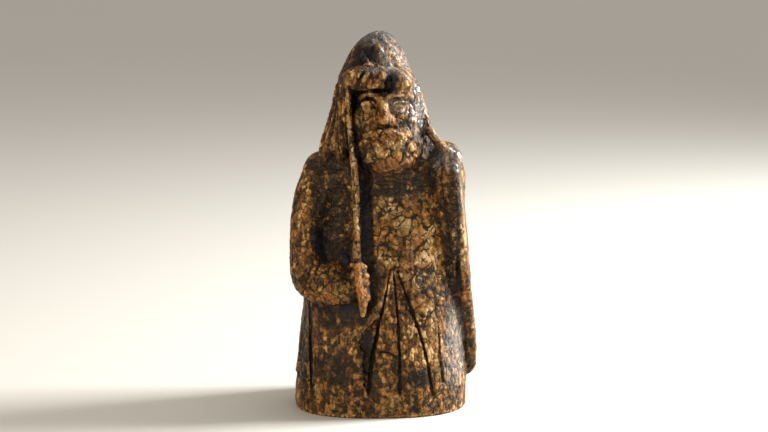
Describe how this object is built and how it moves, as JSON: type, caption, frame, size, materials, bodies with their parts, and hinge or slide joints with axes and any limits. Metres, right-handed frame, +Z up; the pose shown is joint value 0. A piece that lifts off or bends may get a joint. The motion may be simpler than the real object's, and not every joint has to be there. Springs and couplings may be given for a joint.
{
  "type": "chess piece",
  "caption": "Standing carved foot soldier with helmet, upright sword and kite shield, used as a chess piece on a flat oval underside.",
  "frame": {"origin": "centre of the flat underside's rounded oval, on the surface the piece stands on", "axes": "+Z up through the helmet, -Y the way the figure faces, +X towards its shield"},
  "size_m": [0.0438, 0.0329, 0.088],
  "materials": {
    "stained_figure": "dark stain over ochre, crackled and waxed"
  },
  "bodies": {
    "root": {"warder": "stained_figure"}
  },
  "joints": []
}
